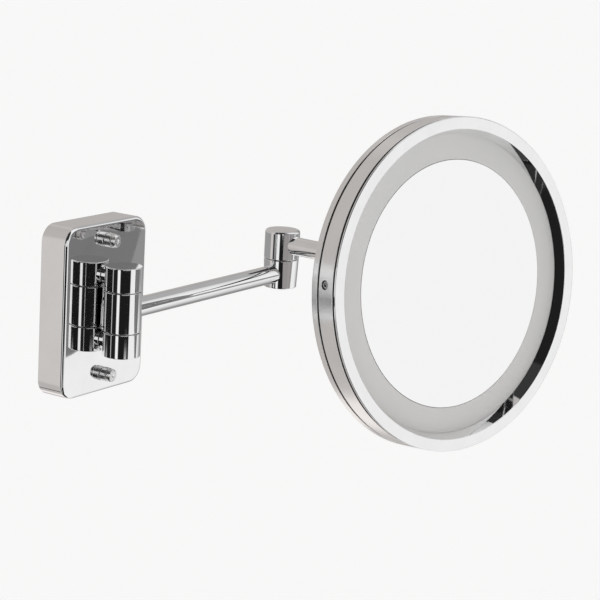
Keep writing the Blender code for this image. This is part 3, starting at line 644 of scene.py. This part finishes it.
def noise(tree, vector, scale, detail=2.0, roughness=0.5):
    node = tree.nodes.new("ShaderNodeTexNoise")
    link(tree, vector, node.inputs["Vector"])
    node.inputs["Scale"].default_value = scale
    node.inputs["Detail"].default_value = detail
    node.inputs["Roughness"].default_value = roughness
    return node.outputs[0]


def add_bump(tree, shader, height, strength, distance):
    node = tree.nodes.new("ShaderNodeBump")
    node.inputs["Strength"].default_value = strength
    node.inputs["Distance"].default_value = distance
    link(tree, height, node.inputs["Height"])
    link(tree, node.outputs["Normal"], shader.inputs["Normal"])


def vary_colour(tree, shader, factor, first, second):
    link(tree, mix_colour(tree, factor, first, second), shader.inputs["Base Color"])


def polished(name, colour, low, high):
    """Polished plating: faint wiping haze in the roughness and a very fine ripple."""
    mat, tree, shader, vector = base_material(name, colour, low, 1.0)
    haze = noise(tree, vector, 70.0, 4.0, 0.6)
    wipe = noise(tree, stretched(tree, vector, (40.0, 40.0, 900.0)), 1.0, 3.0)
    amount = math_node(tree, "MULTIPLY", haze, wipe)
    rough = map_range(tree, amount, 0.12, 0.42, low, high)
    link(tree, rough, shader.inputs["Roughness"])
    patches = map_range(tree, haze, 0.35, 0.65, 0.0, 1.0)
    vary_colour(tree, shader, patches, colour, shaded(colour, 0.965))
    add_bump(tree, shader, noise(tree, vector, 260.0, 2.0), 0.05, 0.00002)
    return mat


def satin(name, colour, roughness, axis):
    """Fine-turned satin metal: rings about the Z axis of a frame."""
    mat, tree, shader, vector = base_material(name, colour, roughness, 1.0)
    local = tree.nodes.new("ShaderNodeMapping")
    local.vector_type = "TEXTURE"
    local.inputs["Location"].default_value = axis.translation
    local.inputs["Rotation"].default_value = axis.to_euler()
    link(tree, vector, local.inputs["Vector"])
    split = tree.nodes.new("ShaderNodeSeparateXYZ")
    link(tree, local.outputs["Vector"], split.inputs[0])
    square_x = math_node(tree, "MULTIPLY", split.outputs["X"], split.outputs["X"])
    square_y = math_node(tree, "MULTIPLY", split.outputs["Y"], split.outputs["Y"])
    radius = math_node(tree, "SQRT", math_node(tree, "ADD", square_x, square_y))
    join = tree.nodes.new("ShaderNodeCombineXYZ")
    link(tree, radius, join.inputs["X"])
    rings = noise(tree, join.outputs[0], 3500.0, 3.0, 0.7)
    cloud = noise(tree, vector, 45.0, 3.0)
    rough = map_range(tree, rings, 0.3, 0.7, roughness * 0.8, roughness * 1.25)
    link(tree, rough, shader.inputs["Roughness"])
    vary_colour(tree, shader, cloud, colour, shaded(colour, 0.90))
    add_bump(tree, shader, rings, 0.15, 0.00003)
    return mat


def zinc(name, colour):
    """Plated sheet steel: a soft grain of small crystals, duller in patches."""
    mat, tree, shader, vector = base_material(name, colour, 0.4, 1.0)
    cells = tree.nodes.new("ShaderNodeTexVoronoi")
    cells.inputs["Scale"].default_value = 420.0
    link(tree, vector, cells.inputs["Vector"])
    tone = tree.nodes.new("ShaderNodeSeparateColor")
    link(tree, cells.outputs["Color"], tone.inputs[0])
    patch = noise(tree, vector, 90.0, 4.0)
    mix = math_node(tree, "MULTIPLY", tone.outputs[0], patch)
    vary_colour(tree, shader, mix, colour, shaded(colour, 0.72))
    link(tree, map_range(tree, patch, 0.3, 0.7, 0.28, 0.5), shader.inputs["Roughness"])
    add_bump(tree, shader, patch, 0.2, 0.00004)
    return mat


def moulded(name, colour, roughness, grain=2600.0, strength=0.25):
    """Moulded plastic or rubber: fine spark-eroded grain and slight mottling."""
    mat, tree, shader, vector = base_material(name, colour, roughness, 0.0)
    fine = noise(tree, vector, grain, 2.0)
    cloud = noise(tree, vector, 60.0, 3.0)
    vary_colour(tree, shader, cloud, colour, shaded(colour, 0.86))
    rough = map_range(tree, fine, 0.3, 0.7, roughness * 0.88, min(1.0, roughness * 1.15))
    link(tree, rough, shader.inputs["Roughness"])
    add_bump(tree, shader, fine, strength, 0.00005)
    return mat


def mirror_material():
    """Silvered glass: clean, with only the faintest haze."""
    mat, tree, shader, vector = base_material("mirror_silver", (0.955, 0.96, 0.958), 0.0, 1.0)
    haze = noise(tree, vector, 30.0, 2.0)
    link(tree, map_range(tree, haze, 0.3, 0.7, 0.0, 0.004), shader.inputs["Roughness"])
    vary_colour(tree, shader, haze, (0.957, 0.961, 0.959), (0.953, 0.957, 0.955))
    return mat


def frosted_material():
    """Sand-blasted glass over an unlit lamp: pale warm grey with a soft sheen and grain."""
    mat, tree, shader, vector = base_material("frosted", (0.60, 0.61, 0.60), 0.42, 0.0)
    grain = noise(tree, vector, 4200.0, 3.0, 0.7)
    tint = noise(tree, vector, 9.0, 1.0)
    first, second = (0.83, 0.815, 0.795), (0.775, 0.775, 0.765)
    vary_colour(tree, shader, map_range(tree, tint, 0.3, 0.7, 0.0, 1.0), first, second)
    link(tree, map_range(tree, grain, 0.3, 0.7, 0.36, 0.50), shader.inputs["Roughness"])
    shader.inputs["Specular IOR Level"].default_value = 0.5
    shader.inputs["Coat Weight"].default_value = 0.15
    shader.inputs["Coat Roughness"].default_value = 0.35
    add_bump(tree, shader, grain, 0.20, 0.00003)
    return mat


def foam_material():
    """Black foam with open cells."""
    mat, tree, shader, vector = base_material("foam_black", (0.05, 0.05, 0.05), 0.95, 0.0)
    cells = tree.nodes.new("ShaderNodeTexVoronoi")
    cells.inputs["Scale"].default_value = 1800.0
    link(tree, vector, cells.inputs["Vector"])
    vary_colour(tree, shader, cells.outputs["Distance"], (0.03, 0.03, 0.03), (0.09, 0.09, 0.09))
    add_bump(tree, shader, cells.outputs["Distance"], 0.5, 0.0002)
    return mat


def board_material():
    """White solder mask with faint copper tracks below it."""
    mat, tree, shader, vector = base_material("board_white", (0.75, 0.76, 0.74), 0.4, 0.0)
    wave = tree.nodes.new("ShaderNodeTexWave")
    wave.inputs["Scale"].default_value = 160.0
    wave.inputs["Distortion"].default_value = 1.5
    link(tree, vector, wave.inputs["Vector"])
    track = map_range(tree, wave.outputs["Fac"], 0.80, 0.90, 0.0, 1.0, True)
    vary_colour(tree, shader, track, (0.78, 0.79, 0.77), (0.66, 0.67, 0.62))
    fine = noise(tree, vector, 900.0, 2.0)
    link(tree, map_range(tree, fine, 0.3, 0.7, 0.34, 0.46), shader.inputs["Roughness"])
    add_bump(tree, shader, track, 0.2, 0.00005)
    return mat


CHROME = polished("chrome", (0.90, 0.90, 0.905), 0.015, 0.05)
TURNED_CHROME = polished("chrome_small_parts", (0.88, 0.88, 0.88), 0.06, 0.12)
SCREW_STEEL = polished("screw_steel", (0.42, 0.42, 0.43), 0.08, 0.16)
KNURL_CHROME = polished("chrome_knurled", (0.88, 0.875, 0.87), 0.24, 0.32)
BAND_CHROME = polished("chrome_head", (0.94, 0.935, 0.93), 0.19, 0.24)
REAR_SATIN = satin("chrome_satin_back", (0.68, 0.68, 0.685), 0.15, AT_HEAD)
MIRROR = mirror_material()
STEEL = zinc("steel_plated", (0.62, 0.63, 0.64))
RUBBER = moulded("seal_rubber", (0.012, 0.012, 0.013), 0.62, 3000.0, 0.3)
NYLON = moulded("nylon", (0.72, 0.71, 0.67), 0.45)
WHITE_PLASTIC = moulded("white_plastic", (0.84, 0.84, 0.82), 0.38, 1600.0, 0.15)
DARK_PLASTIC = moulded("dark_plastic", (0.05, 0.05, 0.055), 0.42, 1500.0, 0.3)
LEAD = moulded("lead_jacket", (0.78, 0.78, 0.76), 0.45, 1200.0, 0.1)
FROSTED = frosted_material()
FOAM = foam_material()
BOARD = board_material()

SLOT_MATERIALS = {
    "chrome": CHROME,
    "steel": STEEL,
    "nylon": NYLON,
    "seal": RUBBER,
    "white_plastic": WHITE_PLASTIC,
    "dark_plastic": DARK_PLASTIC,
    "diffuser": FROSTED,
    "mirror": MIRROR,
    "board": BOARD,
    "foam": FOAM,
    "lead": LEAD,
}


# Wall unit

def cover():
    """The rounded cover, hollow behind, with its screw holes drilled through."""
    bm = bmesh.new()
    half_width, half_height = COVER_WIDTH / 2, COVER_HEIGHT / 2
    inner_edge = COVER_EDGE - COVER_WALL
    inner_depth = COVER_DEPTH - COVER_WALL
    outer = [(0.0, GAP)]
    inner = [(COVER_WALL, GAP)]
    for k in range(COVER_EDGE_STEPS + 1):
        angle = math.pi / 2 * k / COVER_EDGE_STEPS
        rise = math.sin(angle)
        inset = 1 - math.cos(angle)
        outer.append((COVER_EDGE * inset, COVER_DEPTH - COVER_EDGE + COVER_EDGE * rise))
        inner.append((COVER_WALL + inner_edge * inset, inner_depth - inner_edge + inner_edge * rise))
    rings = []
    for inset, depth in list(reversed(inner)) + outer:
        outline = rounded_outline(half_width - inset, half_height - inset, COVER_CORNER - inset)
        rings.append([(x, -depth, z) for x, z in outline])
    loft(bm, rings)
    obj = mesh_object("cover_box_fine", bm)
    cutters = bmesh.new()
    for level in (-STUD_HEIGHT, STUD_HEIGHT, -SPIGOT_HEIGHT, SPIGOT_HEIGHT):
        where = Matrix.Translation((0.0, -COVER_DEPTH, level)) @ ALONG_MINUS_Y
        add_drill(cutters, where, COVER_HOLE, COVER_DRILL, COVER_HOLE_STEPS)
    apply_cut(obj, cutters)
    dress(obj, Matrix.Identity(4), "wall_unit", CHROME, "cover_box")


def thumb_nut(node, body, level):
    """A cap nut with a diamond knurl, a groove and a chamfered, dimpled cap."""
    seat = COVER_DEPTH + GAP
    front = seat + NUT_LENGTH
    grip = front - NUT_CAP_LENGTH
    foot = seat + NUT_CHAMFER
    low = NUT_RADIUS - KNURL_DEPTH
    knurled = []
    for row in range(KNURL_ROWS + 1):
        knurled.append((NUT_RADIUS, grip + (foot - grip) * row / KNURL_ROWS))
    rows = {point: row for row, point in enumerate(knurled)}
    profile = [(radius, front - setback) for radius, setback in NUT_DIMPLE]
    profile += [(NUT_RADIUS - inset, front - setback) for inset, setback in NUT_CAP]
    profile += [(NUT_RADIUS - NUT_NECK, grip + NUT_CHAMFER), (low, grip + NUT_RUN_OUT)]
    profile += knurled
    profile += [
        (low, seat + NUT_RUN_OUT),
        (NUT_RADIUS - NUT_CHAMFER, seat),
        (NUT_BORE, seat),
        (NUT_BORE, seat + NUT_BORE_DEPTH),
        (0.0, seat + NUT_BORE_DEPTH),
    ]

    def knurl(radius, depth, step):
        row = rows.get((radius, depth))
        return radius if row is None else radius - KNURL_DEPTH * ((row + step) % 2)

    bm = bmesh.new()
    lathe(bm, profile, NUT_TEETH * 2, closed=False, wave=knurl)
    matrix = Matrix.Translation((0.0, 0.0, level)) @ ALONG_MINUS_Y
    piece(node, bm, matrix, body, KNURL_CHROME, KNURL_CREASE)


def knuckle_profile(radius, bottom, top, edge, capped, recess=0.0):
    """The half section of a knuckle: bored through, or closed on top."""
    if capped:
        points = [(0.0, top), (radius, top), (radius, bottom), (KNUCKLE_BORE, bottom)]
        points += [(KNUCKLE_BORE, top - KNUCKLE_CAP), (0.0, top - KNUCKLE_CAP)]
        radii = [0.0, edge, KNUCKLE_EDGE, 0.0, 0.0, 0.0]
        return fillet(points, radii, closed=False)
    points = [(KNUCKLE_BORE, top), (radius, top), (radius, bottom)]
    radii = [0.0, edge, KNUCKLE_EDGE]
    if recess:
        floor = bottom + SCREW_RECESS_DEPTH
        points += [(recess, bottom), (recess, floor), (KNUCKLE_BORE, floor)]
        radii += [SCREW_RECESS_EDGE, 0.0, 0.0]
    else:
        points += [(KNUCKLE_BORE, bottom)]
        radii += [0.0]
    return fillet(points, radii)


def add_spigot(bm, level):
    """The short round foot between a fixed knuckle and the cover, in the knuckle's frame."""
    start = -WALL_HINGE.y - COVER_DEPTH - GAP
    spigot = bmesh.new()
    end = BARREL_RADIUS * SPIGOT_REACH
    points = [(0.0, start), (SPIGOT_RADIUS, start), (SPIGOT_RADIUS, end), (0.0, end)]
    profile = fillet(points, [0.0, SPIGOT_EDGE, 0.0, 0.0], closed=False)
    lathe(spigot, profile, SPIGOT_STEPS, closed=False)
    turn = Matrix.Rotation(-math.pi / 2, 4, "X")
    spigot.transform(Matrix.Translation((0.0, 0.0, level)) @ turn)
    mesh = bpy.data.meshes.new("spigot")
    spigot.to_mesh(mesh)
    spigot.free()
    bm.from_mesh(mesh)
    bpy.data.meshes.remove(mesh)


def barrel():
    """The three knuckles of the wall hinge; the outer two stand on the cover."""
    half = BARREL_HEIGHT / 2
    middle = BARREL_MIDDLE / 2
    top = knuckle_profile(BARREL_RADIUS, middle + KNUCKLE_GAP, half, BARREL_TOP_EDGE, True)
    low = knuckle_profile(
        BARREL_RADIUS, -half, -middle - KNUCKLE_GAP, KNUCKLE_EDGE, False, SCREW_RECESS
    )
    for node, profile, closed, level in (
        ("knuckle_top", top, False, SPIGOT_HEIGHT),
        ("knuckle_bottom", low, True, -SPIGOT_HEIGHT),
    ):
        bm = bmesh.new()
        lathe(bm, profile, KNUCKLE_STEPS, closed)
        add_spigot(bm, level)
        piece(node, bm, AT_WALL_HINGE, "wall_unit", CHROME)
    moving = knuckle_profile(BARREL_RADIUS, -middle, middle, KNUCKLE_EDGE, False)
    turned(
        "knuckle_middle", moving, KNUCKLE_STEPS, AT_WALL_HINGE, "first_arm", CHROME
    )


# Arms

def tube(node, matrix, level, end, body):
    """A straight tube along a frame's X, from inside a knuckle's wall to its far end."""
    inner = TUBE_RADIUS - TUBE_WALL
    points = [(inner, end), (TUBE_RADIUS, end), (TUBE_RADIUS, TUBE_ROOT), (inner, TUBE_ROOT)]
    profile = fillet(points, [0.0, TUBE_EDGE, 0.0, 0.0], SMALL_FILLET_STEPS)
    where = matrix @ Matrix.Translation((0.0, 0.0, level)) @ ALONG_X
    turned(node, profile, TUBE_STEPS, where, body, CHROME)


def arms():
    """Both tubes, the elbow's two knuckles and the flat tongue at the far end."""
    reach_1 = (ELBOW - WALL_HINGE).length
    reach_2 = math.hypot(SWIVEL.x - ELBOW.x, SWIVEL.y - ELBOW.y)
    tube("arm_1_tube", AT_ARM_1, 0.0, reach_1 - TUBE_ROOT, "first_arm")
    tube("arm_2_tube", AT_ARM_2, ARM_RISE, reach_2 - TONGUE_NECK - GAP, "second_arm")
    half = ELBOW_KNUCKLE / 2
    points = [
        (KNUCKLE_BORE, half),
        (ELBOW_RADIUS, half),
        (ELBOW_FOOT_RADIUS, -half),
        (SCREW_RECESS, -half),
        (SCREW_RECESS, -half + SCREW_RECESS_DEPTH),
        (KNUCKLE_BORE, -half + SCREW_RECESS_DEPTH),
    ]
    radii = [0.0, KNUCKLE_EDGE, KNUCKLE_EDGE, SCREW_RECESS_EDGE, 0.0, 0.0]
    profile = fillet(points, radii)
    turned(
        "elbow_knuckle_lower", profile, KNUCKLE_STEPS, AT_ELBOW, "first_arm", CHROME
    )
    profile = knuckle_profile(
        ELBOW_RADIUS, half + KNUCKLE_GAP, ARM_RISE + half, ELBOW_EDGE, True
    )
    turned(
        "elbow_knuckle_upper",
        profile,
        KNUCKLE_STEPS,
        AT_ELBOW,
        "second_arm",
        CHROME,
        closed=False,
    )
    refined("arm_2_end", "second_arm", CHROME, FORGED_EDGE)


# Head joint

def head_joint():
    """The yoke between the second arm and the head, and the pins it turns on."""
    refined("swivel_yoke", "yoke", CHROME, FORGED_EDGE)
    refined("swivel_pin", "yoke", TURNED_CHROME, PIN_EDGE)
    refined("head_bracket", "mirror_head", CHROME, FORGED_EDGE)
    refined("tilt_pin", "mirror_head", TURNED_CHROME, PIN_EDGE)
    refined("tilt_nut", "mirror_head", TURNED_CHROME, PIN_EDGE)


# Mirror head

def rear_cover():
    """The head's back and drum in one shell, with a satin back and a brighter side."""
    step = REAR_GROOVE[0]
    drum_front = GLASS_FRONT - DRUM_SETBACK
    inner = DRUM_RADIUS - REAR_SHELL
    points = [
        (0.0, HEAD_BACK),
        (HEAD_RADIUS - REAR_CHAMFER[0], HEAD_BACK),
        (HEAD_RADIUS, HEAD_BACK + REAR_CHAMFER[1]),
        (HEAD_RADIUS, step),
        (DRUM_RADIUS, step),
        (DRUM_RADIUS, drum_front),
        (inner, drum_front),
        (inner, HEAD_BACK + REAR_SHELL),
        (0.0, HEAD_BACK + REAR_SHELL),
    ]
    radii = [0.0, REAR_EDGE, REAR_EDGE, RIM_EDGE, 0.0, 0.0, 0.0, 0.0, 0.0]
    profile = fillet(points, radii, closed=False)
    bm = bmesh.new()
    lathe(bm, profile, FINE_STEPS, closed=False)
    for face in bm.faces:
        faces_back = face.normal.z < -0.99
        if faces_back and face.calc_center_median().z < HEAD_BACK + 1e-5:
            face.material_index = 1
    obj = piece("rear_cover", bm, AT_HEAD, "mirror_head", BAND_CHROME)
    obj.data.materials.append(REAR_SATIN)


def band_screw_angles():
    count = len(BAND_SCREWS)
    return [BAND_SCREW_START + i * 2 * math.pi / count for i in range(count)]


def radial_frame(angle, reach):
    """A frame on the head's side with +Z pointing straight out, at an angle from the top."""
    where = (BAND_SCREW_DEPTH, -reach * math.sin(angle), reach * math.cos(angle))
    return AT_TILT @ Matrix.Translation(where) @ Matrix.Rotation(angle, 4, "X")


def side_band():
    """The plain band between the two black rings, drilled for its screws."""
    start, end = REAR_GROOVE[1], FRONT_GROOVE[0]
    points = [(BAND_INNER, end), (HEAD_RADIUS, end), (HEAD_RADIUS, start), (BAND_INNER, start)]
    bm = bmesh.new()
    lathe(bm, fillet(points, [0.0, RIM_EDGE, RIM_EDGE, 0.0], BAND_FILLET_STEPS), FINE_STEPS)
    obj = mesh_object("side_band_fine", bm)
    cutters = bmesh.new()
    for angle in band_screw_angles():
        where = AT_HEAD.inverted() @ radial_frame(angle, HEAD_RADIUS)
        add_drill(cutters, where, BAND_SCREW_HOLE, BAND_DRILL, BAND_HOLE_STEPS)
    apply_cut(obj, cutters)
    dress(obj, AT_HEAD, "mirror_head", BAND_CHROME, "side_band")
    # Exact normals take the place of the weighted ones
    obj.modifiers.clear()
    smooth_round_faces(obj)


def smooth_round_faces(obj):
    """Give the round faces exact radial normals, so that the holes leave them undisturbed."""
    mesh = obj.data
    axis = AT_HEAD.to_3x3() @ Vector((0.0, 0.0, 1.0))
    centre = AT_HEAD.translation
    normals = []
    for face in mesh.polygons:
        for index in face.loop_indices:
            arm = mesh.vertices[mesh.loops[index].vertex_index].co - centre
            out = (arm - axis * arm.dot(axis)).normalized()
            radial = face.normal.dot(out)
            if abs(radial) > 0.995:
                normals.append(tuple(out * math.copysign(1.0, radial)))
            else:
                normals.append(tuple(face.normal))
    mesh.normals_split_custom_set(normals)


def band_screws():
    """Cap screws below the band's surface, with a rounded rim and a six-sided socket."""
    points = [
        (0.0, SOCKET_FLOOR),
        (SOCKET_RADIUS, SOCKET_FLOOR),
        (SOCKET_RADIUS, 0.0),
        (BAND_SCREW_HEAD, 0.0),
        (BAND_SCREW_HEAD, BAND_SCREW_UNDERSIDE),
        (BAND_SCREW_SHANK, BAND_SCREW_UNDERSIDE),
        (BAND_SCREW_SHANK, BAND_SCREW_TIP),
        (0.0, BAND_SCREW_TIP),
    ]
    radii = [0.0, 0.0, SOCKET_EDGE, BAND_SCREW_RIM, 0.0, 0.0, 0.0, 0.0]
    profile = fillet(points, radii, closed=False)
    side = SCREW_STEPS // SOCKET_SIDES

    def socket(radius, depth, step):
        if radius > SOCKET_RADIUS + 1e-5:
            return radius
        turn = math.radians((step % side - side // 2) * 360 / SCREW_STEPS)
        return radius * math.cos(math.pi / SOCKET_SIDES) / math.cos(turn)

    for node, angle in zip(BAND_SCREWS, band_screw_angles()):
        bm = bmesh.new()
        lathe(bm, profile, SCREW_STEPS, closed=False, wave=socket)
        matrix = radial_frame(angle, BAND_SCREW_TOP)
        piece(node, bm, matrix, "mirror_head", SCREW_STEEL)


def seal_rings():
    """The two black rings round the drum."""
    inner = DRUM_RADIUS + GAP
    for node, groove in (("rear_seal_ring", REAR_GROOVE), ("front_seal_ring", FRONT_GROOVE)):
        start, end = groove[0] + GAP / 2, groove[1] - GAP / 2
        points = [(inner, end), (SEAL_RADIUS, end), (SEAL_RADIUS, start), (inner, start)]
        profile = fillet(points, [0.0, RIM_EDGE, RIM_EDGE, 0.0], SMALL_FILLET_STEPS)
        turned(node, profile, FINE_STEPS, AT_HEAD, "mirror_head", RUBBER)


def front_bezel():
    """The polished front ring, with a cone that runs in to the light ring."""
    rim = FRONT_GROOVE[1]
    foot = GLASS_FRONT + GAP
    points = [
        (LIP_INNER_RADIUS, LIP_FRONT),
        (HEAD_RADIUS, LIP_FRONT),
        (HEAD_RADIUS, rim),
        (LIP_INNER_RADIUS + LIP_WALL, rim),
        (CONE_FOOT_RADIUS + CONE_WALL, foot),
        (CONE_FOOT_RADIUS, foot),
    ]
    radii = [LIP_INNER_EDGE, LIP_OUTER_EDGE, 0.0, 0.0, 0.0, 0.0]
    profile = fillet(points, radii, BEZEL_FILLET_STEPS)
    turned("front_bezel", profile, FINE_STEPS, AT_HEAD, "mirror_head", CHROME)


def diffuser_ring():
    """The flat frosted ring in front of the lamp."""
    back = GLASS_FRONT - DIFFUSER_THICKNESS
    inner = MIRROR_RADIUS + GAP / 2
    points = [
        (inner, GLASS_FRONT),
        (DIFFUSER_RADIUS, GLASS_FRONT),
        (DIFFUSER_RADIUS, back),
        (inner, back),
    ]
    profile = fillet(points, [DIFFUSER_EDGE, 0.0, 0.0, 0.0], SMALL_FILLET_STEPS)
    turned("diffuser_ring", profile, FINE_STEPS, AT_HEAD, "mirror_head", FROSTED)


def mirror_glass():
    """The round glass, hollowed a little in front."""
    edge = MIRROR_RADIUS - GAP / 2
    profile = []
    for i in range(MIRROR_STEPS + 1):
        radius = edge * i / MIRROR_STEPS
        profile.append((radius, GLASS_FRONT - MIRROR_SAG * (1 - (i / MIRROR_STEPS) ** 2)))
    back = GLASS_FRONT - MIRROR_THICKNESS
    profile += [(edge, back), (0.0, back)]
    turned(
        "mirror_glass", profile, FINE_STEPS, AT_HEAD, "mirror_head", MIRROR, closed=False
    )


def dress_cad_nodes():
    """Every CAD node takes the material of its record slot. Those without a finer piece are seen."""
    for part in frame["record"]["subparts"]:
        obj = NODES[part["node"]]
        obj.data.materials.clear()
        obj.data.materials.append(SLOT_MATERIALS[part["material_slot"]])


bpy.context.scene.view_settings.view_transform = "Standard"
bpy.context.scene.view_settings.look = "None"
add_camera()
add_world()
add_floor()
cover()
thumb_nut("thumb_nut_upper", "upper_nut", STUD_HEIGHT)
thumb_nut("thumb_nut_lower", "lower_nut", -STUD_HEIGHT)
barrel()
arms()
head_joint()
rear_cover()
side_band()
band_screws()
seal_rings()
front_bezel()
diffuser_ring()
mirror_glass()
dress_cad_nodes()
